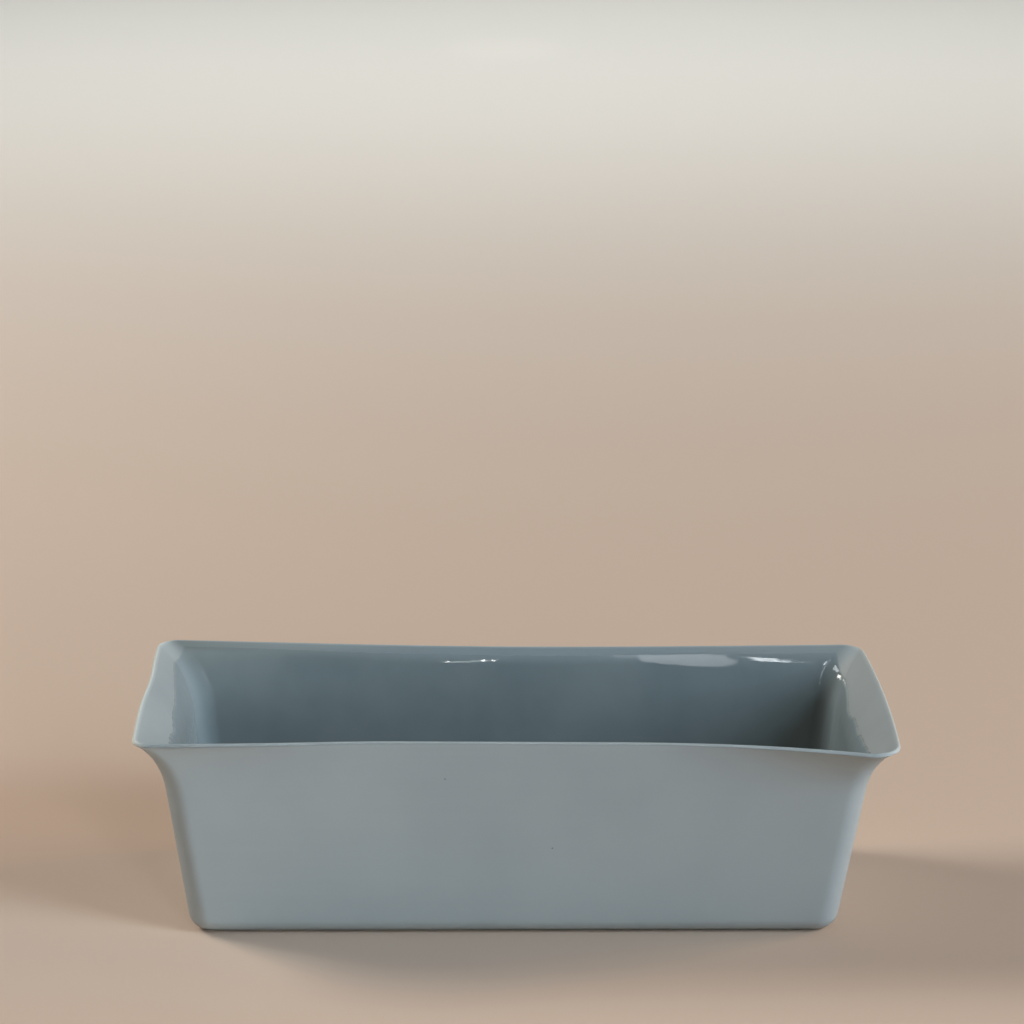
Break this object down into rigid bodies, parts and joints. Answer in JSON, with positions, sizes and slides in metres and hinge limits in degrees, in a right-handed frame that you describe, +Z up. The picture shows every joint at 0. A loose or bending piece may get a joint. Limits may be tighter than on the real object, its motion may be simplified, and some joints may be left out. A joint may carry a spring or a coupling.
{
  "type": "loaf pan",
  "caption": "Slip-cast blue-grey ceramic loaf pan with a flared lip at each end, bare outside and glossy glaze lining inside.",
  "frame": {"origin": "centre of the pan's footprint, in the plane of the flat base", "axes": "+X along the length, towards the lip with the wider bare band; +Z up out of the mouth"},
  "size_m": [0.2994, 0.1306, 0.0863],
  "materials": {
    "bare_clay": "satin",
    "glaze": "gloss"
  },
  "bodies": {
    "root": {"cast_body": "bare_clay", "interior_glaze": "glaze"}
  },
  "joints": []
}
